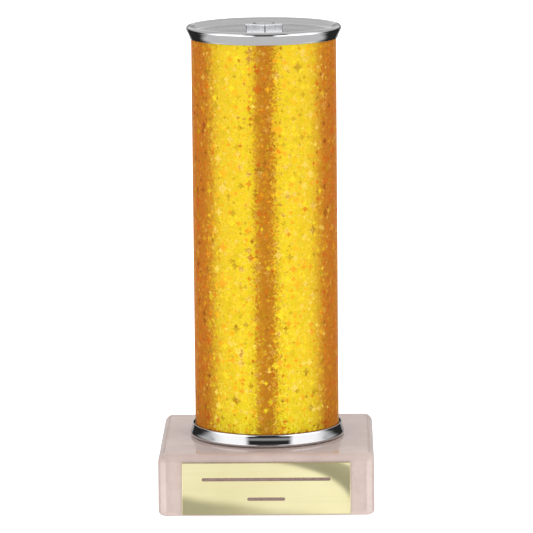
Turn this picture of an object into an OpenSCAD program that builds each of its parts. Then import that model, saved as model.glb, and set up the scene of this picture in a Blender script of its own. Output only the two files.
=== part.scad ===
// Column trophy: a polished marble block, a film-wrapped tube clamped between two
// pressed metal caps by a tie rod, and an engraving plate stuck on the front.
// Millimetres, +Z up, front towards -Y. The origin is the centre of the underside.

/* [Marble base] */
// Width and depth of the square block
base_w = 65.5; // [58:0.5:90]
// Thickness of the block
base_t = 19.05; // [18:0.05:30]
// Radius of the four upright corners
corner_r = 2.6; // [2.5:0.1:5]
// Radius of the rounding round the top face
top_edge_r = 2.5; // [0.5:0.1:2.5]
// Radius of the rounding round the underside
bottom_edge_r = 1.5; // [0.2:0.1:2]
// Diameter of the hole for the tie rod
bore_d = 8; // [7:0.5:10]
// Diameter of the counterbore in the underside
counterbore_d = 22; // [18:0.5:26]
// Depth of the counterbore in the underside
counterbore_depth = 10; // [10:0.5:13]

/* [Felt pad] */
// Thickness of the felt sheet under the block
felt_t = 0.8; // [0.5:0.1:1.5]
// Distance from the block's side to the felt's edge
felt_inset = 5; // [4:0.5:8]
// Radius of the felt's corners
felt_corner_r = 4; // [1:0.5:8]

/* [Engraving plate] */
// Width of the plate
plate_w = 51; // [30:1:52]
// Height of the plate
plate_h = 16; // [10:0.5:16]
// Thickness of the plate
plate_t = 0.5; // [0.4:0.1:1]
// Width of the bevel round the plate's face
plate_bevel = 0.3; // [0.1:0.1:0.3]
// Height of the plate's lower edge above the block's underside
plate_rise = 0.65; // [0.3:0.05:1]
// Thickness of the adhesive tape behind the plate
tape_t = 0.15; // [0.1:0.05:0.3]
// Distance from the plate's edge to the tape's edge
tape_inset = 1; // [0.5:0.1:2]
// Length of the upper engraved rule
long_rule = 39; // [10:1:40]
// Length of the lower engraved rule
short_rule = 11.5; // [4:0.5:30]
// Height of each engraved rule
rule_h = 1; // [0.6:0.1:1.4]
// Depth of each engraved rule
rule_depth = 0.12; // [0.05:0.01:0.2]

/* [Column] */
// Height of the column, from the outer face of one cap to that of the other
column_h = 127; // [60:1:300]
// Diameter of the column over its film
column_d = 44.4; // [30:0.1:50]
// Wall of the tube
tube_wall = 1.4; // [1:0.1:3]
// Thickness of the wrapped film
film_t = 0.15; // [0.1:0.05:0.3]

/* [Caps] */
// Thickness of the pressed sheet
cap_sheet = 0.3; // [0.25:0.05:0.5]
// Height of a cap, from its outer face to its lip
cap_h = 4; // [3.5:0.1:6]
// How far the bead stands out from the column
bead_out = 1.55; // [1.4:0.05:1.8]
// Radius of the rolled bead round the cap
bead_r = 0.9; // [0.7:0.05:1]
// Depth of the cap's dished face below its bead
dish_depth = 1.95; // [1:0.05:2]
// Clearance between the top cap's lip and the film, which it grips
top_lip_gap = 0.02; // [0.02:0.01:0.3]
// Clearance between the bottom cap's belled lip and the film
bottom_lip_gap = 0.5; // [0.02:0.01:0.6]
// Diameter of the hole in the middle of each cap
cap_hole_d = 6.8; // [6.6:0.1:7.5]

/* [Fasteners] */
// Diameter of the tie rod
rod_d = 6.35; // [5:0.05:6.35]
// Distance across the flats of both nuts
nut_af = 11.1; // [10:0.1:12.7]
// Thickness of the thin nut on top
top_nut_h = 2.4; // [2:0.1:4]
// Turn of the top nut about the column
top_nut_turn = 4.5; // [0:0.5:60]
// Thickness of the nut under the block
bottom_nut_h = 5.6; // [4:0.1:5.6]
// Diameter of the flat washer
washer_d = 15.9; // [14:0.1:17]
// Hole in the flat washer
washer_hole = 7.1; // [6.6:0.1:7.5]
// Thickness of the flat washer and of the lock washer
washer_t = 1.6; // [1:0.1:1.6]
// Diameter of the split lock washer
lock_d = 12.4; // [10:0.1:13]
// Hole in the split lock washer
lock_hole = 6.6; // [6.5:0.1:7]
// Width of the slit in the lock washer
lock_slit = 1.2; // [0.8:0.1:2]

/* [Hidden] */
round_fn = 96;
hull_fn = 32;
arc_steps = 20;
// How far a cutting shape runs past what it cuts
slack = 1;

// Heights
base_z = felt_t;
column_z = base_z + base_t;
rim_z = column_z + column_h;
ceiling_z = base_z + counterbore_depth;
washer_z = ceiling_z - washer_t;
lock_z = washer_z - washer_t;
bottom_nut_z = lock_z - bottom_nut_h;
top_nut_z = rim_z - dish_depth;

// Plate on the front face
tape_y = -base_w / 2;
plate_y = tape_y - tape_t;
plate_z = base_z + plate_rise;
long_rule_z = 0.68 * plate_h;
short_rule_z = 0.3 * plate_h;

// Tube between the two caps
floor_depth = dish_depth + cap_sheet;
tube_z = column_z + floor_depth;
tube_h = column_h - 2 * floor_depth;
tube_d = column_d - 2 * film_t;

// Section of a cap: its outer face at height 0, its skirt below. The dish's wall leaves
// the bead at wall_angle, and the skirt leaves it where a line to the lip is tangent
wall_angle = 150;
wall_slope = tan(wall_angle - 90);
bead_c = [column_d / 2 + bead_out - bead_r, -bead_r];

// Rod ends and nuts
rod_end = 0.7;
rod_proud = 0.1;
rod_below = 0.6;
rod_z = bottom_nut_z - rod_below;
rod_h = top_nut_z + top_nut_h + rod_proud - rod_z;
nut_corner_d = nut_af / cos(30);
nut_bearing_d = 0.95 * nut_af;
chamfer_slope = tan(15);

function unit(a) = [cos(a), sin(a)];

function arc(c, r, from, to, n) =
    [for (i = [0:n]) c + r * unit(from + (to - from) * i / n)];

function on_bead(r) = bead_c + r * unit(wall_angle);

// Where the dish's wall, coming down from the bead, meets a floor at this depth
function foot(r, depth) = [on_bead(r)[0] - (on_bead(r)[1] + depth) / wall_slope, -depth];

function skirt_angle(lip) = let (v = lip - bead_c) atan2(v[1], v[0]) + acos(bead_r / norm(v));

module ring(outer_d, inner_d, h) {
    difference() {
        cylinder(d = outer_d, h = h, $fn = round_fn);
        translate([0, 0, -slack]) cylinder(d = inner_d, h = h + 2 * slack, $fn = round_fn);
    }
}

// One upright corner of the block, with its top and bottom roundings
module corner_post() {
    rotate_extrude($fn = hull_fn) polygon(concat(
        [[0, 0]],
        arc([corner_r - bottom_edge_r, bottom_edge_r], bottom_edge_r, -90, 0, 3),
        arc([corner_r - top_edge_r, base_t - top_edge_r], top_edge_r, 0, 90, 8),
        [[0, base_t]]));
}

module block() {
    reach = base_w / 2 - corner_r;
    hull() for (x = [-reach, reach], y = [-reach, reach]) translate([x, y, 0]) corner_post();
}

module marble_base() {
    color("#dcc4bc") translate([0, 0, base_z]) difference() {
        block();
        translate([0, 0, -slack]) cylinder(d = bore_d, h = base_t + 2 * slack, $fn = round_fn);
        translate([0, 0, -slack])
            cylinder(d = counterbore_d, h = counterbore_depth + slack, $fn = round_fn);
    }
}

module felt_pad() {
    side = base_w - 2 * felt_inset;
    reach = side / 2 - felt_corner_r;
    color("#1d3b2c") linear_extrude(felt_t) union() {
        square([side, 2 * reach], center = true);
        square([2 * reach, side], center = true);
        for (x = [-reach, reach], y = [-reach, reach])
            translate([x, y]) circle(r = felt_corner_r, $fn = round_fn);
    }
}

module plate_tape() {
    w = plate_w - 2 * tape_inset;
    h = plate_h - 2 * tape_inset;
    color("#e8e2d0") translate([-w / 2, plate_y, plate_z + tape_inset]) cube([w, tape_t, h]);
}

// A slab lying along X, with its front two edges bevelled
module bevelled_slab(w, h) {
    linear_extrude(h) polygon([
        [-w / 2, 0], [-w / 2, plate_bevel - plate_t], [plate_bevel - w / 2, -plate_t],
        [w / 2 - plate_bevel, -plate_t], [w / 2, plate_bevel - plate_t], [w / 2, 0]]);
}

// A round-ended groove along X, centred on the given height of the plate
module rule(length, z) {
    translate([0, rule_depth - plate_t, z]) rotate([90, 0, 0]) linear_extrude(slack) union() {
        square([length - rule_h, rule_h], center = true);
        for (side = [-1, 1])
            translate([side * (length - rule_h) / 2, 0]) circle(d = rule_h, $fn = hull_fn);
    }
}

// The second slab lies on its side, which bevels the top and bottom edges
module engraving_plate() {
    color("#e6d9a8") translate([0, plate_y, plate_z]) difference() {
        intersection() {
            bevelled_slab(plate_w, plate_h);
            translate([-plate_w / 2, 0, plate_h / 2]) rotate([0, 90, 0])
                bevelled_slab(plate_h, plate_w);
        }
        rule(long_rule, long_rule_z);
        rule(short_rule, short_rule_z);
    }
}

// A pressed cap with its outer face at height 0 and its skirt hanging down
module cap(lip_gap) {
    lip = [column_d / 2 + lip_gap + cap_sheet, -cap_h];
    inner_r = bead_r - cap_sheet;
    skirt = skirt_angle(lip);
    rotate_extrude($fn = round_fn) polygon(concat(
        [[cap_hole_d / 2, -dish_depth], foot(bead_r, dish_depth)],
        arc(bead_c, bead_r, wall_angle, skirt, arc_steps),
        [lip, lip - cap_sheet * unit(skirt)],
        arc(bead_c, inner_r, skirt, wall_angle, arc_steps),
        [foot(inner_r, floor_depth), [cap_hole_d / 2, -floor_depth]]));
}

module bottom_cap() {
    color("#d5d5d8") translate([0, 0, column_z]) mirror([0, 0, 1]) cap(bottom_lip_gap);
}

module top_cap() {
    color("#d5d5d8") translate([0, 0, rim_z]) cap(top_lip_gap);
}

module column_tube() {
    color("#f2efe8") translate([0, 0, tube_z]) ring(tube_d, tube_d - 2 * tube_wall, tube_h);
}

module star_film() {
    color("#e0a32c") translate([0, 0, tube_z]) ring(column_d, tube_d, tube_h);
}

module tie_rod() {
    r = rod_d / 2;
    color("#c4c7cc") translate([0, 0, rod_z]) rotate_extrude($fn = round_fn) polygon([
        [0, 0], [r - rod_end, 0], [r, rod_end], [r, rod_h - rod_end],
        [r - rod_end, rod_h], [0, rod_h]]);
}

// A hexagon nut with a corner on the Y axis, flat below and chamfered above
module hex_nut(h) {
    fall = (nut_corner_d - nut_bearing_d) / 2 * chamfer_slope;
    difference() {
        intersection() {
            rotate([0, 0, 30]) cylinder(d = nut_corner_d, h = h, $fn = 6);
            rotate_extrude($fn = round_fn) polygon([
                [0, 0], [nut_corner_d / 2, 0], [nut_corner_d / 2, h - fall],
                [nut_bearing_d / 2, h], [0, h]]);
        }
        translate([0, 0, -slack]) cylinder(d = rod_d, h = h + 2 * slack, $fn = round_fn);
    }
}

module top_nut() {
    color("#e4e6ea") translate([0, 0, top_nut_z]) rotate([0, 0, top_nut_turn])
        hex_nut(top_nut_h);
}

module bottom_nut() {
    color("#c4c7cc") translate([0, 0, bottom_nut_z + bottom_nut_h]) mirror([0, 0, 1])
        hex_nut(bottom_nut_h);
}

module bottom_washer() {
    color("#c4c7cc") translate([0, 0, washer_z]) ring(washer_d, washer_hole, washer_t);
}

module lock_washer() {
    color("#b4b7bc") translate([0, 0, lock_z]) difference() {
        ring(lock_d, lock_hole, washer_t);
        translate([0, -lock_slit / 2, -slack]) cube([lock_d, lock_slit, washer_t + 2 * slack]);
    }
}

marble_base();
felt_pad();
plate_tape();
engraving_plate();
bottom_cap();
column_tube();
star_film();
top_cap();
tie_rod();
top_nut();
bottom_washer();
lock_washer();
bottom_nut();
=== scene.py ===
"""Looks for the column trophy: detailed pieces, materials, light and camera around the CAD frame.

Lengths are in metres. The front of the trophy faces -Y. Azimuths are measured from the front,
positive towards +X.
"""
import math

import bmesh
import bpy
from mathutils import Matrix, Vector


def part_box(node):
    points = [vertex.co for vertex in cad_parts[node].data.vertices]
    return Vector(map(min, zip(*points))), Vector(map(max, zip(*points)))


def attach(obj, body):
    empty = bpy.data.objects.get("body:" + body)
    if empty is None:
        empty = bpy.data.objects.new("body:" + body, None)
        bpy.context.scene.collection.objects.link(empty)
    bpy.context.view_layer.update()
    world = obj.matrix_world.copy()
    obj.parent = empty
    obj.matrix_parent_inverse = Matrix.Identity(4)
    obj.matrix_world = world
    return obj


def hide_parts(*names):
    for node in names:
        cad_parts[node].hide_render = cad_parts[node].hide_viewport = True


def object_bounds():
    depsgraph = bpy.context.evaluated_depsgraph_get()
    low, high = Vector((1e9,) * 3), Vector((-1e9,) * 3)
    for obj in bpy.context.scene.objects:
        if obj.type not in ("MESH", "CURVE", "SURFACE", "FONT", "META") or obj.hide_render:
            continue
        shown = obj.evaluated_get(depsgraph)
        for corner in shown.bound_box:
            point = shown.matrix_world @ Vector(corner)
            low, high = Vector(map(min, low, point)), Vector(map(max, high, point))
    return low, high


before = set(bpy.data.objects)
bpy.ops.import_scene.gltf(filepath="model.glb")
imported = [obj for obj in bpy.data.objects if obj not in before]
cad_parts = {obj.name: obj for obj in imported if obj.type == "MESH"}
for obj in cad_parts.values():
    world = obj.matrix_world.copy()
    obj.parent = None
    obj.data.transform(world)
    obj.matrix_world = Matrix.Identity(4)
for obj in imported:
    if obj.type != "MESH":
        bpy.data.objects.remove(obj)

MM = 0.001
TURN = 2 * math.pi
cad_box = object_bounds()

# The camera stands in front, a little to the right and above
CAMERA_AZIMUTH = math.radians(0.9)
CAMERA_ELEVATION = math.radians(9.24)
CAMERA_DISTANCE = 1.332
CAMERA_ROLL = math.radians(-0.53)
CAMERA_AIM = (0.2 * MM, 0, 72.12 * MM)
CAMERA_LENS = 292.35
SENSOR = 36.0

# Soft light on dull surfaces, from the horizon up to SOFT_HEIGHT
SIDE_LIGHT = 0.9
TOP_LIGHT = 1.4
SOFT_HEIGHT = math.radians(72)
WHITE = (1, 1, 1, 1)
TOP_TINT = (1.0, 0.94, 0.93, 1)

# What shiny surfaces see. Heights are in degrees above level, with a softness where there is a
# third value, and the rest in degrees off the middle of the dark front. FRONT_ holds a value for
# rays below level and one for rays above it. STRIP_START is by azimuth, on the right only.
PANEL_LIGHT = 2.4
DARK_LIGHT = 0.03
ROOM_LIGHT = 0.68
TABLE_LIGHT = 0.8
RAISED = (-3, 4)
FRONT_MIDDLE = (1, 3.5)
FRONT_HALF = (16, 34.5)
SOFT_EDGE = (-5, 5)
LOW_PANEL_FALL = (30, 62)
LOW_PANEL_SHARES = (1.28, 1.06)
LOW_PANEL_END = (70, 110)
RAISED_PANEL_END = (70, 126)
RAISED_PANEL_SHARE = 0.63
GLINT_LIGHT = 0.4
GLINT_HEIGHT = (11, 19, 3)
GLINT_END = (30, 38)
BEHIND = (150, 162)
BEHIND_HEIGHT = (2, 17)
BEHIND_SHARES = (0.7, 1.3)
BACK_HEIGHT = (-13, 6, 2)
CEILING_SPAN = (75, 100)
CEILING_HEIGHT = (38, 8)
TABLE_HEIGHT = (-32, -22)
TABLE_END = (112, 132)
STRIP_LIGHT = 0.6
STRIP_START = (147, 155)

# Reflector card: its place in front of the plate, its dark curve, clear corner and dark foot
CARD_FORWARD = 27 * MM
CARD_HALF_WIDTH = 30 * MM
CARD_BELOW = 3 * MM
CARD_ABOVE = 0.6 * MM
CARD_SWAY = 0.8 * MM
CARD_SWAY_SCALE = 55.0
CURVE_START = -14 * MM
CURVE_WIDTH = 40 * MM
CURVE_HEIGHT = 16.7 * MM
CURVE_EDGE = (0.98, 1.04)
CURVE_FADE = (1.0, 1.5, 1.0, 0.72)
CURVE_SHADE = 0.64
CARD_BRIGHTENS = (-10 * MM, 25 * MM, 1.0, 1.08)
CORNER_SLOPE = 2.3
CORNER_SPAN = (56.4 * MM, 57.4 * MM)
FOOT_SLOPE = 0.14
FOOT_SPAN = (-1.0 * MM, 1.6 * MM)
FOOT_SIDES = (-22 * MM, 6 * MM)
FOOT_SHADES = (0.52, 0.25)

# Tones, each ramp with its places from 0 to 1
MARBLE_TONES = (
    (0.25, (0.44, 0.350, 0.322)), (0.42, (0.505, 0.408, 0.376)),
    (0.58, (0.555, 0.458, 0.42)), (0.78, (0.60, 0.508, 0.465)))
MARBLE_VEIN = (0.46, 0.34, 0.33, 1)
MARBLE_SPECK = (0.70, 0.62, 0.58, 1)
FELT_TONES = ((0.3, (0.006, 0.022, 0.014)), (0.7, (0.022, 0.075, 0.048)))
FELT_PATCH = (0.03, 0.09, 0.06, 1)
TAPE_TONES = ((0.3, (0.66, 0.62, 0.52)), (0.7, (0.78, 0.75, 0.66)))
PLASTIC_TONES = ((0.3, (0.72, 0.70, 0.65)), (0.7, (0.82, 0.80, 0.76)))
CHROME_TONES = ((0.3, (0.58, 0.58, 0.59)), (0.7, (0.63, 0.63, 0.64)))
SATIN_TONES = ((0.3, (0.57, 0.57, 0.57)), (0.7, (0.75, 0.74, 0.75)))
BRASS_TONES = ((0.3, (0.84, 0.77, 0.43)), (0.7, (0.90, 0.83, 0.50)))
BRASS_BRUSH = (0.74, 0.68, 0.40, 1)
GROOVE_TONES = ((0.3, (0.20, 0.13, 0.11)), (0.7, (0.34, 0.24, 0.21)))
ZINC_TONES = ((0.3, (0.52, 0.53, 0.55)), (0.7, (0.66, 0.67, 0.70)))
BRIGHT_TONES = ((0.3, (0.92, 0.94, 0.97)), (0.7, (0.95, 0.97, 0.99)))
# painted dark reflection for the top nut's corners and painted shade for its countersink
PAINTED_SHADE_AND_REFLECTION_TONES = ((0.3, (0.22, 0.22, 0.23)), (0.7, (0.30, 0.30, 0.31)))

# Floor
FLOOR_GREY = (0.8, 0.8, 0.8, 1)
FLOOR_HALF = 30.0
FLOOR_DROP = 0.02 * MM
FLOOR_GLOW = 0.7

# Roundness of the turned pieces and of the roundings
ROUND_STEPS = 240
ARC_STEPS = 14
SHARP_ANGLE = math.radians(32)
SAME_PLACE = 1e-7

# Pressed caps
CAP_SHEET = 0.3 * MM
CAP_BEAD = 0.9 * MM
CAP_HEIGHT = 4.0 * MM
CAP_DISH = 1.95 * MM
CAP_FLARE = math.radians(8)
CAP_FILLET = 1.2 * MM
CAP_HOLE = 3.4 * MM
CAP_BURR = 0.1 * MM
CAP_WALL_ANGLE = math.radians(150)
BEAD_STEPS = 28
INNER_BEAD_STEPS = 20
FILLET_STEPS = 10
HEM_STEPS = 6
HOLLOW_STEPS = 9
DISH_EDGE = (21.9 * MM, 22.3 * MM)
TOP_LIP_GAP = 0.02 * MM
BOTTOM_LIP_GAP = 0.5 * MM

# Film
FILM_LAP = 0.08 * MM
FILM_SEAM = math.radians(-96)
FILM_OVERLAP = math.radians(14)
FILM_RISE = math.radians(3)
FILM_DROP = math.radians(0.3)
FILM_STEPS = 720
FILM_ROWS = 2

# Film's grain (cells to the mm) and the share of the metallic sheen
GRAIN_CELLS = 2.4
GRAIN_TILT = 0.11
GROUND_TONES = ((0.0, (0.59, 0.15, 0.018)), (0.5, (0.645, 0.182, 0.020)), (1.0, (0.70, 0.215, 0.022)))
SHEEN_TONES = ((0.0, (0.37, 0.50, 0.003)), (0.65, (0.41, 0.59, 0.003)), (0.9, (0.47, 0.65, 0.05)))
GROUND_CLOUD = (0.56, 0.20, 0.01, 1)
SHEEN_CLOUD = (0.34, 0.50, 0.004, 1)
SHEEN_SHARE = 0.36

# 0.5 gives thin four-pointed stars, 1 gives diamonds
STAR_POINT = 0.6
STAR_EDGE = (-0.03, 0.10)
STAR_SCATTER = 0.85
# Each layer of stars: its cells in mm, the greatest reach in cells, the share shown, a shift,
# the tilt and the strength of the tint
STAR_LAYERS = (
    (0.9, 0.60, 0.5, 11.3, 0.20, 0.35),
    (1.7, 0.62, 0.75, 7.1, 0.24, 0.5),
    (2.9, 0.60, 0.75, 3.3, 0.26, 0.55),
    (6.0, 0.42, 0.8, 0.0, 0.28, 0.55),
)
# Tints of the stars: dark red, vermilion, orange, yellow, ochre and pale
STAR_GROUNDS = (
    (0.0, (0.26, 0.045, 0.01)), (0.12, (0.72, 0.09, 0.01)), (0.26, (0.80, 0.19, 0.01)),
    (0.44, (0.82, 0.36, 0.015)), (0.62, (0.60, 0.26, 0.01)), (0.80, (0.85, 0.42, 0.06)))
STAR_SHEENS = (
    (0.0, (0.33, 0.30, 0.01)), (0.12, (0.48, 0.30, 0.01)), (0.26, (0.46, 0.38, 0.01)),
    (0.44, (0.45, 0.62, 0.02)), (0.62, (0.33, 0.44, 0.01)), (0.80, (0.60, 0.68, 0.18)))

# Marble block
CORNER_R = 2.6 * MM
TOP_EDGE_R = 2.5 * MM
BOTTOM_EDGE_R = 1.5 * MM
BORE_R = 4.0 * MM
COUNTERBORE_R = 11.0 * MM
COUNTERBORE_DEPTH = 10.0 * MM
BLOCK_STEPS = 480

# Engraving plate
PLATE_BEVEL = 0.15 * MM
LONG_RULE = 39.0 * MM
SHORT_RULE = 11.5 * MM
RULE_HEIGHT = 1.0 * MM
RULE_DEPTH = 0.12 * MM
LONG_RULE_AT = 0.68
SHORT_RULE_AT = 0.30
RULE_END_STEPS = 12

# Nuts and rod
NUT_TURN = math.radians(4.5)
NUT_ACROSS_FLATS = 11.1 * MM
NUT_BEARING = 0.95
NUT_CHAMFER = math.radians(15)
NUT_SINK = 0.25 * MM
NUT_SOFT = 0.09 * MM
NUT_STEPS = 720
# how far round each corner of the top nut the painted dark reflection reaches
PAINTED_REFLECTION_ANGLE = math.radians(1.3)
THREAD_PITCH = 1.27 * MM
THREAD_DEPTH = 0.6 * MM
THREAD_CREST = (0.42, 0.58)
ROD_CHAMFER = 0.6 * MM
ROD_STEPS = 48
ROD_WELD = 1e-6

# Felt
FELT_SOFT = 0.15 * MM
FELT_CORNER = 4 * MM
FELT_RINGS = 26
FELT_STEPS = 288


# ---------------------------------------------------------------- meshes


def radius_of(node):
    low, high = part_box(node)
    return (high.x - low.x) / 2


def mesh_object(name, bm, *materials):
    """Turns a bmesh into an object in the scene."""
    mesh = bpy.data.meshes.new(name)
    bm.to_mesh(mesh)
    bm.free()
    for material in materials:
        mesh.materials.append(material)
    made = bpy.data.objects.new(name, mesh)
    bpy.context.scene.collection.objects.link(made)
    return made


def new_piece(name, bm, node, slot, *materials):
    """Turns a bmesh into a piece that stands for a CAD node and rides on the trophy."""
    bmesh.ops.remove_doubles(bm, verts=bm.verts, dist=SAME_PLACE)
    bmesh.ops.recalc_face_normals(bm, faces=bm.faces)
    for edge in bm.edges:
        edge.smooth = len(edge.link_faces) == 2 and edge.calc_face_angle() < SHARP_ANGLE
    for face in bm.faces:
        face.smooth = True
    piece = mesh_object(name, bm, *materials)
    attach(piece, "root")
    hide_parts(node)
    return piece


def apply_modifiers(piece):
    """Gives a piece the mesh that its modifiers make."""
    bpy.context.view_layer.update()
    evaluated = piece.evaluated_get(bpy.context.evaluated_depsgraph_get())
    piece.data = bpy.data.meshes.new_from_object(evaluated)
    piece.modifiers.clear()


def weigh_normals(piece):
    """Keeps large flat faces flat where they run into a rounding."""
    modifier = piece.modifiers.new("weigh", "WEIGHTED_NORMAL")
    modifier.keep_sharp = True
    apply_modifiers(piece)


def loft(bm, loops, capped=False):
    """Skins a stack of loops with the same number of points: the last to the first, or capped."""
    rings = [[bm.verts.new(point) for point in loop] for loop in loops]
    if capped:
        bm.faces.new(rings[0])
        bm.faces.new(rings[-1])
    for low, high in zip(rings, rings[1:] if capped else rings[1:] + rings[:1]):
        for i, vert in enumerate(low):
            j = (i + 1) % len(low)
            bm.faces.new((vert, low[j], high[j], high[i]))


def circle(radius, z, steps=ROUND_STEPS):
    """A ring about the axis. The radius may be a function of the azimuth, z one of the radius."""
    ring = []
    for i in range(steps):
        azimuth = TURN * i / steps
        r = radius(azimuth) if callable(radius) else radius
        height = z(r) if callable(z) else z
        ring.append((r * math.sin(azimuth), -r * math.cos(azimuth), height))
    return ring


def arc(centre, radius, start, end, steps=ARC_STEPS):
    """Points (radius, height) round a centre, angles from the outward direction."""
    points = []
    for i in range(steps + 1):
        angle = start + (end - start) * i / steps
        points.append((centre[0] + radius * math.cos(angle), centre[1] + radius * math.sin(angle)))
    return points


def lathe(outline):
    """A solid of revolution about the column's axis from a closed outline of (radius, height)."""
    bm = bmesh.new()
    loft(bm, [circle(r, z) for r, z in outline])
    return bm


# ---------------------------------------------------------------- node graphs


class Graph:
    """Short calls that build a node tree."""

    def __init__(self, tree):
        self.tree = tree
        tree.nodes.clear()

    def node(self, kind, inputs=None, **settings):
        made = self.tree.nodes.new(kind)
        for key, value in settings.items():
            setattr(made, key, value)
        for key, value in (inputs or {}).items():
            self.put(made.inputs[key], value)
        return made

    def put(self, socket, value):
        if isinstance(value, bpy.types.NodeSocket):
            self.tree.links.new(value, socket)
        else:
            socket.default_value = value

    def math(self, operation, a, b=0.0, c=0.0):
        made = self.node("ShaderNodeMath", operation=operation)
        for socket, value in zip(made.inputs, (a, b, c)):
            self.put(socket, value)
        return made.outputs[0]

    def vector(self, operation, a, b=(0, 0, 0), scale=None):
        made = self.node("ShaderNodeVectorMath", operation=operation)
        self.put(made.inputs[0], a)
        self.put(made.inputs[1], b)
        if scale is not None:
            self.put(made.inputs["Scale"], scale)
        return made.outputs["Value" if operation == "LENGTH" else "Vector"]

    def split(self, vector):
        return self.node("ShaderNodeSeparateXYZ", {"Vector": vector}).outputs

    def join(self, x, y, z):
        return self.node("ShaderNodeCombineXYZ", {"X": x, "Y": y, "Z": z}).outputs[0]

    def step(self, value, low, high, to_low=0.0, to_high=1.0):
        """A smooth step from to_low at low to to_high at high."""
        made = self.node("ShaderNodeMapRange", interpolation_type="SMOOTHSTEP")
        names = ("Value", "From Min", "From Max", "To Min", "To Max")
        for name, number in zip(names, (value, low, high, to_low, to_high)):
            self.put(made.inputs[name], number)
        return made.outputs["Result"]

    def band(self, value, low, high, soft):
        """1 between low and high, 0 outside, with soft edges."""
        rise = self.step(value, low - soft, low + soft)
        fall = self.step(value, high - soft, high + soft, 1.0, 0.0)
        return self.math("MULTIPLY", rise, fall)

    def mix(self, factor, a, b):
        """A colour between a and b."""
        made = self.node("ShaderNodeMix", data_type="RGBA")
        self.put(made.inputs[0], factor)
        self.put(made.inputs[6], a)
        self.put(made.inputs[7], b)
        return made.outputs[2]

    def blend(self, factor, a, b):
        """A number between a and b."""
        made = self.node("ShaderNodeMix", data_type="FLOAT")
        self.put(made.inputs[0], factor)
        self.put(made.inputs[2], a)
        self.put(made.inputs[3], b)
        return made.outputs[0]

    def noise(self, vector, scale, detail=3.0, roughness=0.5, distortion=0.0):
        made = self.node("ShaderNodeTexNoise", {
            "Vector": vector, "Scale": scale, "Detail": detail,
            "Roughness": roughness, "Distortion": distortion})
        return made.outputs["Fac"]

    def ramp(self, factor, stops, interpolation="LINEAR"):
        made = self.node("ShaderNodeValToRGB", {"Fac": factor})
        made.color_ramp.interpolation = interpolation
        elements = made.color_ramp.elements
        while len(elements) < len(stops):
            elements.new(1.0)
        for element, (place, colour) in zip(elements, stops):
            element.position = place
            element.color = (*colour, 1.0)
        return made.outputs["Color"]

    def bump(self, height, strength, distance):
        inputs = {"Height": height, "Strength": strength, "Distance": distance}
        return self.node("ShaderNodeBump", inputs).outputs[0]

    def place(self):
        return self.node("ShaderNodeTexCoord").outputs["Object"]


def new_material(name):
    material = bpy.data.materials.new(name)
    material.use_nodes = True
    return material, Graph(material.node_tree)


def finish_material(graph, base, **values):
    """Adds the surface. Plain numbers go straight onto its own sockets."""
    surface = graph.node("ShaderNodeBsdfPrincipled")
    graph.put(surface.inputs["Base Color"], base)
    for key, value in values.items():
        graph.put(surface.inputs[key.replace("_", " ")], value)
    graph.node("ShaderNodeOutputMaterial", {"Surface": surface.outputs[0]})


# ---------------------------------------------------------------- materials


def marble_material():
    material, g = new_material("pink_marble")
    place = g.place()
    warp = g.node("ShaderNodeTexNoise", {"Vector": place, "Scale": 28.0, "Detail": 3.0})
    shift = g.vector("SCALE", warp.outputs["Color"], scale=0.018)
    warped = g.vector("ADD", place, shift)
    cloud = g.noise(warped, 42.0, 5.0, 0.55)
    base = g.ramp(cloud, MARBLE_TONES)
    ridge = g.math("ABSOLUTE", g.math("SUBTRACT", g.noise(warped, 55.0, 4.0, 0.6, 0.6), 0.5))
    vein = g.step(ridge, 0.0, 0.05, 1.0, 0.0)
    vein = g.math("MULTIPLY", vein, g.step(cloud, 0.35, 0.6))
    base = g.mix(g.math("MULTIPLY", vein, 0.22), base, MARBLE_VEIN)
    grain = g.noise(place, 900.0, 2.0)
    base = g.mix(g.step(grain, 0.55, 0.8, 0.0, 0.10), base, MARBLE_SPECK)
    roughness = g.step(g.noise(place, 160.0), 0.3, 0.8, 0.06, 0.16)
    finish_material(g, base, Roughness=roughness, IOR=1.5)
    return material


def felt_material():
    material, g = new_material("felt")
    place = g.place()
    fibres = g.noise(place, 2600.0, 4.0, 0.7, 2.0)
    patches = g.noise(place, 240.0, 3.0)
    base = g.ramp(fibres, FELT_TONES)
    base = g.mix(g.step(patches, 0.4, 0.7, 0.0, 0.35), base, FELT_PATCH)
    normal = g.bump(fibres, 0.8, 0.2 * MM)
    finish_material(g, base, Roughness=0.95, Sheen_Weight=0.4, Normal=normal)
    return material


def tape_material():
    material, g = new_material("adhesive_tape")
    base = g.ramp(g.noise(g.place(), 700.0), TAPE_TONES)
    finish_material(g, base, Roughness=0.6)
    return material


def plastic_material():
    material, g = new_material("tube_plastic")
    place = g.place()
    streak = g.noise(g.vector("MULTIPLY", place, (1, 1, 0.05)), 900.0)
    base = g.ramp(streak, PLASTIC_TONES)
    finish_material(g, base, Roughness=0.45)
    return material


def chrome_material():
    """Bright chrome, with the dished face a satin grey with faint pressing rings."""
    material, g = new_material("bright_chrome")
    place = g.place()
    x, y, _ = g.split(place)
    radius = g.vector("LENGTH", g.join(x, y, 0.0))
    dish = g.step(radius, *DISH_EDGE, 1.0, 0.0)
    rings = g.noise(g.join(radius, 0.0, 0.0), 420.0, 3.0, 0.65)
    smudge = g.noise(place, 120.0, 3.0)
    base = g.mix(dish, g.ramp(smudge, CHROME_TONES), g.ramp(rings, SATIN_TONES))
    polish = g.step(smudge, 0.35, 0.75, 0.03, 0.07)
    roughness = g.blend(dish, polish, 0.17)
    normal = g.bump(rings, g.math("MULTIPLY", dish, 0.6), 0.06 * MM)
    finish_material(g, base, Metallic=1.0, Roughness=roughness, Normal=normal)
    return material


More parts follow.
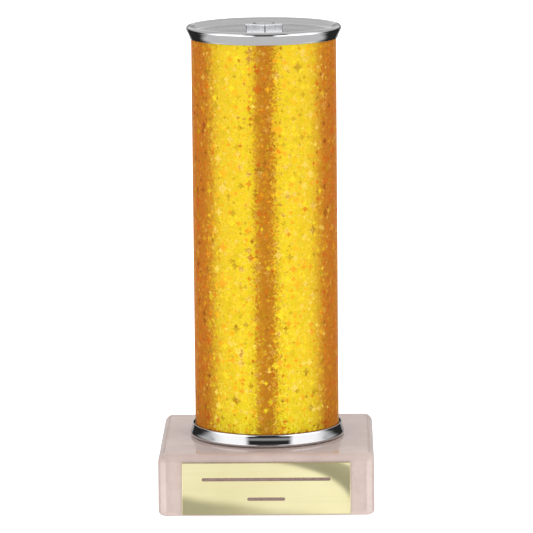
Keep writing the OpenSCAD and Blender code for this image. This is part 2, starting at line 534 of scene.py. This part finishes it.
def star_layer(g, wrap, cell, reach, share, shift):
    """One scatter of four-pointed stars. Returns its mask and each star's own random colour."""
    scaled = g.vector("ADD", g.vector("SCALE", wrap, scale=1 / cell), (shift, shift * 1.7, 0))
    cells = g.node("ShaderNodeTexVoronoi", {"Vector": scaled, "Scale": 1.0, "Randomness": STAR_SCATTER},
                   voronoi_dimensions="2D")
    dx, dy, _ = g.split(g.vector("SUBTRACT", scaled, cells.outputs["Position"]))
    own = cells.outputs["Color"]
    pick, keep, _ = g.split(own)
    size = g.math("MULTIPLY_ADD", pick, 0.5 * reach, 0.5 * reach)
    across, up, arm = (g.math("POWER", g.math("ABSOLUTE", length), STAR_POINT)
                       for length in (dx, dy, size))
    edge = g.math("SUBTRACT", arm, g.math("ADD", across, up))
    mask = g.step(edge, *STAR_EDGE)
    shown = g.math("LESS_THAN", keep, share)
    return g.math("MULTIPLY", mask, shown), own


def leaning(g, colour, amount):
    """A random colour as a random tilt."""
    return g.vector("SCALE", g.vector("SUBTRACT", colour, (0.5, 0.5, 0.5)), scale=amount)


def film_material():
    """Holographic film: an amber ground under a lemon metallic sheen, embossed with stars.

    Each star has its own tilt and tint, and a fine grain tilts the ground between them.
    """
    material, g = new_material("gold_film")
    wrap = g.node("ShaderNodeUVMap", uv_map="wrap").outputs["UV"]
    grain = g.node("ShaderNodeTexVoronoi", {"Vector": wrap, "Scale": GRAIN_CELLS},
                   voronoi_dimensions="2D").outputs["Color"]
    tilt = leaning(g, grain, GRAIN_TILT)
    pick, _, shine = g.split(grain)
    cloud = g.step(g.noise(wrap, 0.3, 2.0, 0.5), 0.45, 0.62, 0.0, 0.35)
    ground = g.mix(cloud, g.ramp(pick, GROUND_TONES), GROUND_CLOUD)
    sheen = g.mix(cloud, g.ramp(shine, SHEEN_TONES), SHEEN_CLOUD)
    for cell, reach, share, shift, lean, depth in STAR_LAYERS:
        mask, own = star_layer(g, wrap, cell, reach, share, shift)
        tilt = g.vector("ADD", tilt, g.vector("SCALE", leaning(g, own, lean), scale=mask))
        tone = g.split(own)[2]
        amount = g.math("MULTIPLY", mask, depth)
        ground = g.mix(amount, ground, g.ramp(tone, STAR_GROUNDS, "CONSTANT"))
        sheen = g.mix(amount, sheen, g.ramp(tone, STAR_SHEENS, "CONSTANT"))
    facing = g.node("ShaderNodeNewGeometry").outputs["Normal"]
    normal = g.vector("NORMALIZE", g.vector("ADD", facing, tilt))
    under = g.node("ShaderNodeBsdfPrincipled", {
        "Base Color": ground, "Roughness": 0.4, "Specular IOR Level": 0.03, "Normal": normal})
    over = g.node("ShaderNodeBsdfPrincipled", {
        "Base Color": sheen, "Metallic": 1.0, "Roughness": 0.23, "Normal": normal})
    both = g.node("ShaderNodeMixShader", {"Fac": SHEEN_SHARE})
    g.tree.links.new(under.outputs[0], both.inputs[1])
    g.tree.links.new(over.outputs[0], both.inputs[2])
    g.node("ShaderNodeOutputMaterial", {"Surface": both.outputs[0]})
    return material


def brass_material():
    material, g = new_material("plate_brass")
    place = g.place()
    x, _, z = g.split(place)
    brush = g.noise(g.join(g.math("MULTIPLY", x, 30.0), 0.0, g.math("MULTIPLY", z, 1600.0)), 1.0, 2.0)
    tone = g.noise(place, 60.0, 2.0)
    base = g.ramp(tone, BRASS_TONES)
    base = g.mix(g.step(brush, 0.4, 0.7, 0.0, 0.15), base, BRASS_BRUSH)
    swell = g.noise(g.vector("MULTIPLY", place, (1, 0, 1.6)), 26.0, 1.0)
    normal = g.bump(swell, 0.3, 0.8 * MM)
    finish_material(g, base, Metallic=1.0, Roughness=0.09, Normal=normal)
    return material


def engraved_material():
    material, g = new_material("engraved_groove")
    base = g.ramp(g.noise(g.place(), 2200.0), GROOVE_TONES)
    finish_material(g, base, Roughness=0.6, Metallic=0.3)
    return material


def steel_material(name, tones, roughness, pits=0.1):
    material, g = new_material(name)
    place = g.place()
    base = g.ramp(g.noise(place, 500.0, 3.0), tones)
    rough = g.step(g.noise(place, 900.0), 0.3, 0.7, roughness * 0.9, roughness * 1.15)
    normal = g.bump(g.noise(place, 1800.0), pits, 0.03 * MM)
    finish_material(g, base, Metallic=1.0, Roughness=rough, Normal=normal)
    return material


# ---------------------------------------------------------------- pieces


def rounded_square(half, radius, z, steps=ROUND_STEPS):
    """A level square ring with round corners, its points spread evenly by azimuth."""
    ring = []
    for i in range(steps):
        azimuth = TURN * i / steps
        dx, dy = math.sin(azimuth), -math.cos(azimuth)
        reach = half / max(abs(dx), abs(dy))
        flat = half - radius
        if radius > 0 and min(abs(dx), abs(dy)) * reach > flat:
            # the ray meets the corner's arc, centred at (flat, flat)
            along = flat * (abs(dx) + abs(dy))
            reach = along + math.sqrt(max(along * along - 2 * flat * flat + radius * radius, 0))
        ring.append((dx * reach, dy * reach, z))
    return ring


def marble_base(material):
    """The block: its outer skin from the underside up and over, then the bore and counterbore."""
    low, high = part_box("marble_base")
    half = (high.x - low.x) / 2
    bottom, top = low.z, high.z
    profile = arc((-BOTTOM_EDGE_R, bottom + BOTTOM_EDGE_R), BOTTOM_EDGE_R, -TURN / 4, 0)
    profile += arc((-TOP_EDGE_R, top - TOP_EDGE_R), TOP_EDGE_R, 0, TURN / 4)
    loops = [rounded_square(half + inset, CORNER_R + inset, z, BLOCK_STEPS) for inset, z in profile]
    ceiling = bottom + COUNTERBORE_DEPTH
    inside = [(BORE_R, top), (BORE_R, ceiling), (COUNTERBORE_R, ceiling), (COUNTERBORE_R, bottom)]
    loops += [circle(r, z, BLOCK_STEPS) for r, z in inside]
    bm = bmesh.new()
    loft(bm, loops)
    weigh_normals(new_piece("marble_block", bm, "marble_base", "pink_marble", material))


def cap_outline(plane, way, lip_gap):
    """The section of a pressed cap: its face at height plane, its skirt towards way (-1 down)."""
    widest = radius_of("top_cap")
    film = radius_of("star_film")
    centre = Vector((widest - CAP_BEAD, -CAP_BEAD))
    lip = Vector((film + lip_gap + CAP_SHEET, -CAP_HEIGHT))
    away = lip - centre
    skirt = math.atan2(away.y, away.x) + math.acos(CAP_BEAD / away.length)
    inner = CAP_BEAD - CAP_SHEET
    floor = CAP_DISH + CAP_SHEET

    def foot(radius, depth):
        on_bead = centre + radius * Vector((math.cos(CAP_WALL_ANGLE), math.sin(CAP_WALL_ANGLE)))
        return on_bead.x - (on_bead.y + depth) / math.tan(CAP_WALL_ANGLE - TURN / 4)

    outer_foot = foot(CAP_BEAD, CAP_DISH)
    points = [(CAP_HOLE, -CAP_DISH - CAP_BURR), (CAP_HOLE + CAP_BURR, -CAP_DISH)]
    slope = CAP_WALL_ANGLE - TURN / 4
    foot_centre = (outer_foot - CAP_FILLET * math.tan(slope / 2), CAP_FILLET - CAP_DISH)
    points += arc(foot_centre, CAP_FILLET, -TURN / 4, slope - TURN / 4, FILLET_STEPS)
    points += arc(centre, CAP_BEAD, CAP_WALL_ANGLE, skirt - CAP_FLARE, BEAD_STEPS)
    start = centre + CAP_BEAD * Vector((math.cos(skirt - CAP_FLARE), math.sin(skirt - CAP_FLARE)))
    points += hollow(start, lip, CAP_FLARE)
    hem = CAP_SHEET / 2
    out = Vector((math.cos(skirt), math.sin(skirt)))
    middle = lip - hem * out + hem * Vector((-out.y, out.x))
    points += arc(middle, hem, skirt, skirt - TURN / 2, HEM_STEPS)
    start = centre + inner * Vector((math.cos(skirt - CAP_FLARE), math.sin(skirt - CAP_FLARE)))
    points += hollow(start, lip - CAP_SHEET * out, CAP_FLARE)[::-1]
    points += arc(centre, inner, skirt - CAP_FLARE, CAP_WALL_ANGLE, INNER_BEAD_STEPS)
    points += [(foot(inner, floor), -floor), (CAP_HOLE, -floor)]
    return [(r, plane + way * z) for r, z in points]


def hollow(start, end, bend):
    """Points between two ends of a line that sags inwards, turning by bend at each end."""
    along = end - start
    sag = along.length * math.tan(bend) / 4
    side = Vector((along.y, -along.x)).normalized()
    points = []
    for i in range(1, HOLLOW_STEPS):
        share = i / HOLLOW_STEPS
        points.append(tuple(start + along * share + side * sag * 4 * share * (1 - share)))
    return points


def pressed_cap(name, node, plane, way, lip_gap, material):
    bm = lathe(cap_outline(plane, way, lip_gap))
    new_piece(name, bm, node, "bright_chrome", material)


def wrapped_film(material):
    """The sleeve of film, one wrap round the tube with its end lapped over its start."""
    low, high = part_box("star_film")
    outer = radius_of("star_film")
    inner = radius_of("column_tube")

    def skin(azimuth):
        """The outer radius: the lapped end stands proud, then sinks back to a single layer."""
        turned = (azimuth - FILM_SEAM) % TURN
        if turned < FILM_OVERLAP:
            return outer
        rise = min(1.0, (TURN - turned) / FILM_RISE, (turned - FILM_OVERLAP) / FILM_DROP)
        return outer - FILM_LAP * max(0.0, rise)

    heights = [low.z + (high.z - low.z) * row / FILM_ROWS for row in range(FILM_ROWS + 1)]
    loops = [circle(inner, z, FILM_STEPS) for z in (high.z, low.z)]
    loops += [circle(skin, z, FILM_STEPS) for z in heights]
    bm = bmesh.new()
    loft(bm, loops)
    layer = bm.loops.layers.uv.new("wrap")
    for face in bm.faces:
        middle = face.calc_center_median()
        base = math.atan2(middle.x, -middle.y)
        for loop in face.loops:
            place = loop.vert.co
            azimuth = math.atan2(place.x, -place.y)
            azimuth += TURN * round((base - azimuth) / TURN)
            loop[layer].uv = (azimuth * outer / MM, place.z / MM)
    new_piece("film_sleeve", bm, "star_film", "gold_film", material)


def slot_cutter(length, height, depth, centre):
    """A round-ended bar lying along X, to cut a groove with."""
    bm = bmesh.new()
    outline = []
    for side in (1, -1):
        for i in range(RULE_END_STEPS + 1):
            angle = -TURN / 4 + TURN / 2 * i / RULE_END_STEPS
            x = side * ((length - height) / 2 + height / 2 * math.cos(angle))
            outline.append((centre.x + x, centre.z + side * height / 2 * math.sin(angle)))
    loft(bm, [[(x, centre.y + y, z) for x, z in outline] for y in (depth, -depth)], capped=True)
    bmesh.ops.recalc_face_normals(bm, faces=bm.faces)
    return bm


def engraving_plate(material, groove):
    """A thin sheet with a soft bevel and two plain engraved rules."""
    low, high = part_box("engraving_plate")
    bm = bmesh.new()
    bmesh.ops.create_cube(bm, size=1.0)
    size = high - low
    middle = (high + low) / 2
    bmesh.ops.scale(bm, vec=size, verts=bm.verts)
    bmesh.ops.translate(bm, vec=middle, verts=bm.verts)
    front = [e for e in bm.edges if all(abs(v.co.y - low.y) < SAME_PLACE for v in e.verts)]
    bmesh.ops.bevel(bm, geom=front, offset=PLATE_BEVEL, segments=4, profile=0.6, affect="EDGES")
    piece = new_piece("plate_sheet", bm, "engraving_plate", "plate_brass", material, groove)
    for length, share in ((LONG_RULE, LONG_RULE_AT), (SHORT_RULE, SHORT_RULE_AT)):
        centre = Vector((middle.x, low.y, low.z + share * size.z))
        bar = slot_cutter(length, RULE_HEIGHT, RULE_DEPTH, centre)
        cutter = mesh_object("cutter", bar, groove)
        cut = piece.modifiers.new("rule", "BOOLEAN")
        cut.operation = "DIFFERENCE"
        cut.solver = "EXACT"
        cut.material_mode = "TRANSFER"
        cut.object = cutter
        apply_modifiers(piece)
        bpy.data.objects.remove(cutter)
    weigh_normals(piece)


def hexagon_nut(name, node, turn, slot, materials, up=True):
    """A hexagon nut with soft corners and a countersunk hole, chamfered on one side.

    The last material goes on the corners and in the countersink; on the top nut it is a painted dark
    reflection on the corners and painted shade in the countersink.
    """
    low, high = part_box(node)
    hole = radius_of("tie_rod")
    width = NUT_ACROSS_FLATS / 2
    bearing = NUT_BEARING * width
    flat_z, worked_z, way = (low.z, high.z, 1) if up else (high.z, low.z, -1)

    def off_corner(azimuth):
        return abs((azimuth - turn + TURN / 12) % (TURN / 6) - TURN / 12)

    def side(azimuth):
        """The hexagon's radius, its corners rounded a little."""
        flat = width / math.cos(TURN / 12 - off_corner(azimuth))
        return min(flat, width / math.cos(TURN / 12) - NUT_SOFT)

    def chamfer(radius):
        """The height at which the chamfer's cone cuts the sides."""
        return worked_z - way * (radius - bearing) * math.tan(NUT_CHAMFER)

    section = [
        (hole, flat_z + way * NUT_SINK), (hole + NUT_SINK, flat_z), (side, flat_z), (side, chamfer),
        (bearing, worked_z), (hole + NUT_SINK, worked_z), (hole, worked_z - way * NUT_SINK)]
    bm = bmesh.new()
    loft(bm, [circle(radius, z, NUT_STEPS) for radius, z in section])
    for face in bm.faces:
        middle = face.calc_center_median()
        radius = middle.xy.length
        # faces for the last material: on the top nut painted shade in the countersink and a painted
        # dark reflection along the corners
        sink = hole < radius < hole + NUT_SINK
        corner = radius > width and off_corner(math.atan2(middle.x, -middle.y)) < PAINTED_REFLECTION_ANGLE
        if sink or corner:
            face.material_index = len(materials) - 1
    weigh_normals(new_piece(name, bm, node, slot, *materials))


def threaded_rod(material):
    """A rod with a helical thread along its whole length and chamfered ends."""
    low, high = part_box("tie_rod")
    major = radius_of("tie_rod")
    root = major - THREAD_DEPTH
    steps = ROD_STEPS
    turns = int((high.z - low.z) / THREAD_PITCH) + 2
    section = ((0.0, root), *((share, major) for share in THREAD_CREST))
    bm = bmesh.new()
    rows = []
    for k in range(-1, turns):
        for share, radius in section:
            row = []
            for i in range(steps):
                azimuth = TURN * i / steps
                z = low.z + THREAD_PITCH * (k + share + i / steps)
                z = min(max(z, low.z), high.z)
                near = min(z - low.z, high.z - z)
                r = min(radius, major - ROD_CHAMFER + near)
                row.append(bm.verts.new((r * math.sin(azimuth), -r * math.cos(azimuth), z)))
            rows.append(row)
    # each row climbs one pitch in a turn, so its end joins the row one pitch on
    per_turn = len(section)
    for n, row in enumerate(rows[:-1]):
        above = rows[n + 1]
        for i in range(steps - 1):
            bm.faces.new((row[i], row[i + 1], above[i + 1], above[i]))
        if n + 1 + per_turn < len(rows):
            bm.faces.new((row[-1], rows[n + per_turn][0], rows[n + 1 + per_turn][0], above[-1]))
    bmesh.ops.remove_doubles(bm, verts=bm.verts, dist=ROD_WELD)
    bmesh.ops.dissolve_degenerate(bm, edges=bm.edges, dist=ROD_WELD)
    bmesh.ops.holes_fill(bm, edges=[e for e in bm.edges if e.is_boundary], sides=0)
    new_piece("threaded_rod", bm, "tie_rod", "zinc_steel", material)


def felt_sheet(material):
    """The felt pad, its lower edge softened."""
    low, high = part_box("felt_pad")
    half = (high.x - low.x) / 2 - FELT_SOFT

    def ring(n, z):
        share = n / FELT_RINGS
        return rounded_square(half * share, FELT_CORNER * share, z, FELT_STEPS)

    loops = [ring(n, low.z) for n in range(1, FELT_RINGS)]
    loops.append(ring(FELT_RINGS, low.z + FELT_SOFT))
    loops += [ring(n, high.z) for n in range(FELT_RINGS, 0, -1)]
    bm = bmesh.new()
    loft(bm, loops, capped=True)
    new_piece("felt_sheet", bm, "felt_pad", "felt", material)


def dress(node, material):
    """Gives a CAD node that stays visible its material."""
    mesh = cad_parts[node].data
    mesh.materials.clear()
    mesh.materials.append(material)


def build_pieces():
    chrome = chrome_material()
    zinc = steel_material("zinc_steel", ZINC_TONES, 0.3)
    bright = steel_material("bright_nut", BRIGHT_TONES, 0.16, pits=0.0)
    # painted dark reflection for the top nut's corners and painted shade for its countersink
    painted_dark = steel_material("painted_shade_and_reflection", PAINTED_SHADE_AND_REFLECTION_TONES, 0.3)
    marble_base(marble_material())
    felt_sheet(felt_material())
    low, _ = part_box("bottom_cap")
    pressed_cap("cap_below", "bottom_cap", low.z, -1, BOTTOM_LIP_GAP, chrome)
    _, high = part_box("top_cap")
    pressed_cap("cap_above", "top_cap", high.z, 1, TOP_LIP_GAP, chrome)
    wrapped_film(film_material())
    engraving_plate(brass_material(), engraved_material())
    hexagon_nut("nut_above", "top_nut", NUT_TURN, "bright_nut", (bright, painted_dark))
    hexagon_nut("nut_below", "bottom_nut", 0.0, "zinc_steel", (zinc,), up=False)
    threaded_rod(zinc)
    dress("plate_tape", tape_material())
    dress("column_tube", plastic_material())
    dress("bottom_washer", zinc)
    dress("lock_washer", zinc)


# ---------------------------------------------------------------- stage


def fade(g, angle, span, levels=(0.0, 1.0)):
    """A smooth step between two levels as an angle goes over a span of degrees."""
    return g.step(angle, *map(math.radians, span), *levels)


def side_panels(g, off, raised):
    """The share of light of the bright panels at both sides of the dark front."""
    inner = g.math("SUBTRACT", off, g.blend(raised, *map(math.radians, FRONT_HALF)))
    low = g.math("MULTIPLY", fade(g, off, LOW_PANEL_FALL, LOW_PANEL_SHARES),
                 fade(g, off, LOW_PANEL_END, (1.0, 0.0)))
    high = fade(g, off, RAISED_PANEL_END, (RAISED_PANEL_SHARE, 0.0))
    return g.math("MULTIPLY", fade(g, inner, SOFT_EDGE), g.blend(raised, low, high))


def mirror_light(g, azimuth, elevation):
    """What shiny surfaces see: bright side panels round a dark front, a grey room above and behind."""
    raised = fade(g, elevation, RAISED)
    middle = g.blend(raised, *map(math.radians, FRONT_MIDDLE))
    off = g.math("ABSOLUTE", g.math("SUBTRACT", azimuth, middle))
    level = g.math("MULTIPLY_ADD", side_panels(g, off, raised), PANEL_LIGHT, DARK_LIGHT)
    glint = g.math("MULTIPLY", g.band(elevation, *map(math.radians, GLINT_HEIGHT)),
                   fade(g, off, GLINT_END, (GLINT_LIGHT, 0.0)))
    level = g.math("ADD", level, glint)
    behind = fade(g, off, BEHIND)
    rear = fade(g, elevation, BEHIND_HEIGHT, [share * ROOM_LIGHT for share in BEHIND_SHARES])
    room = g.blend(behind, ROOM_LIGHT, rear)
    back = g.math("MULTIPLY", behind, g.band(elevation, *map(math.radians, BACK_HEIGHT)))
    level = g.math("MULTIPLY_ADD", back, room, level)
    ceiling = fade(g, off, CEILING_SPAN, map(math.radians, CEILING_HEIGHT))
    above = fade(g, g.math("SUBTRACT", elevation, ceiling), SOFT_EDGE)
    level = g.blend(above, level, room)
    table = fade(g, off, TABLE_END, (TABLE_LIGHT, DARK_LIGHT))
    table = g.math("MULTIPLY_ADD", fade(g, azimuth, STRIP_START), STRIP_LIGHT, table)
    return g.blend(fade(g, elevation, TABLE_HEIGHT, (1.0, 0.0)), level, table)


def studio_world():
    """Even soft light on dull surfaces, the studio's panels on shiny ones, white to the camera."""
    world = bpy.data.worlds.new("studio")
    bpy.context.scene.world = world
    world.use_nodes = True
    g = Graph(world.node_tree)
    x, y, z = g.split(g.node("ShaderNodeTexCoord").outputs["Generated"])
    azimuth = g.math("ARCTAN2", x, g.math("MULTIPLY", y, -1.0))
    elevation = g.math("ARCSINE", z)
    path = g.node("ShaderNodeLightPath").outputs
    soft = g.step(elevation, 0.0, SOFT_HEIGHT, SIDE_LIGHT, TOP_LIGHT)
    strength = g.blend(path["Is Glossy Ray"], soft, mirror_light(g, azimuth, elevation))
    strength = g.blend(path["Is Camera Ray"], strength, 1.0)
    warm = g.mix(g.step(elevation, 0.0, SOFT_HEIGHT), WHITE, TOP_TINT)
    sharp = g.math("MAXIMUM", path["Is Glossy Ray"], path["Is Camera Ray"])
    tint = g.mix(sharp, warm, WHITE)
    back = g.node("ShaderNodeBackground", {"Color": tint, "Strength": strength})
    g.node("ShaderNodeOutputWorld", {"Surface": back.outputs[0]})


def card_level(g, foot):
    """The card's light: a dark curve, a clear corner beyond it and a dark foot."""
    place = g.place()
    sway = g.math("MULTIPLY_ADD", g.noise(place, CARD_SWAY_SCALE, 2.0), 2 * CARD_SWAY, -CARD_SWAY)
    x, _, z = g.split(place)
    height = g.math("ADD", g.math("SUBTRACT", z, foot), sway)
    across = g.math("DIVIDE", g.math("SUBTRACT", x, CURVE_START), CURVE_WIDTH)
    up = g.math("DIVIDE", height, CURVE_HEIGHT)
    reach = g.vector("LENGTH", g.join(g.math("MAXIMUM", across, 0.0), g.math("MAXIMUM", up, 0.0), 0.0))
    curve = g.math("MULTIPLY", g.step(reach, *CURVE_EDGE), g.step(reach, *CURVE_FADE))
    corner = g.math("MULTIPLY_ADD", height, CORNER_SLOPE, x)
    curve = g.math("MULTIPLY", curve, g.step(corner, *CORNER_SPAN, 1.0, 0.0))
    level = g.step(x, *CARD_BRIGHTENS)
    slope = g.math("MULTIPLY_ADD", x, FOOT_SLOPE, height)
    dark = g.math("MULTIPLY", g.step(slope, *FOOT_SPAN, 1.0, 0.0), g.step(x, *FOOT_SIDES, *FOOT_SHADES))
    level = g.math("SUBTRACT", level, dark)
    return g.math("MULTIPLY", level, g.math("MULTIPLY_ADD", curve, -CURVE_SHADE, 1.0))


def reflector_card():
    """A card in front of the plate that only mirrored rays meet. It gives the plate its sheen."""
    low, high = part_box("engraving_plate")
    drop = CARD_FORWARD * math.tan(CAMERA_ELEVATION)
    y = low.y - CARD_FORWARD
    bottom, top = low.z - drop - CARD_BELOW, high.z - drop + CARD_ABOVE
    left, right = -CARD_HALF_WIDTH, CARD_HALF_WIDTH
    bm = bmesh.new()
    corners = ((left, bottom), (right, bottom), (right, top), (left, top))
    bm.faces.new([bm.verts.new((x, y, z)) for x, z in corners])
    material, g = new_material("reflector_card")
    glow = g.node("ShaderNodeEmission", {"Strength": card_level(g, low.z - drop)})
    g.node("ShaderNodeOutputMaterial", {"Surface": glow.outputs[0]})
    card = mesh_object("reflector_card", bm, material)
    card.visible_camera = False
    card.visible_diffuse = False
    card.visible_shadow = False


def pale_floor():
    """A plain pale floor that glows faintly, so that it stays light right up to the trophy."""
    material, g = new_material("pale_floor")
    finish_material(g, FLOOR_GREY, Roughness=1.0, Emission_Color=WHITE,
                    Emission_Strength=FLOOR_GLOW)
    bm = bmesh.new()
    bmesh.ops.create_grid(bm, x_segments=1, y_segments=1, size=FLOOR_HALF)
    floor = mesh_object("floor", bm, material)
    floor.location.z = cad_box[0][2] - FLOOR_DROP
    floor.visible_glossy = False


def camera():
    data = bpy.data.cameras.new("camera")
    data.sensor_fit = "HORIZONTAL"
    data.sensor_width = SENSOR
    data.lens = CAMERA_LENS
    data.clip_end = 100
    made = bpy.data.objects.new("camera", data)
    bpy.context.scene.collection.objects.link(made)
    level = math.cos(CAMERA_ELEVATION)
    back = Vector((math.sin(CAMERA_AZIMUTH) * level, -math.cos(CAMERA_AZIMUTH) * level,
                   math.sin(CAMERA_ELEVATION)))
    right = Vector((math.cos(CAMERA_AZIMUTH), math.sin(CAMERA_AZIMUTH), 0))
    up = back.cross(right)
    turn = Matrix((right, up, back)).transposed().to_4x4()
    place = Matrix.Translation(Vector(CAMERA_AIM) + CAMERA_DISTANCE * back)
    made.matrix_world = place @ turn @ Matrix.Rotation(CAMERA_ROLL, 4, "Z")
    bpy.context.scene.camera = made


def colours():
    view = bpy.context.scene.view_settings
    view.view_transform = "Standard"
    view.look = "None"
    view.exposure = 0.0


camera()
studio_world()
pale_floor()
reflector_card()
colours()
build_pieces()
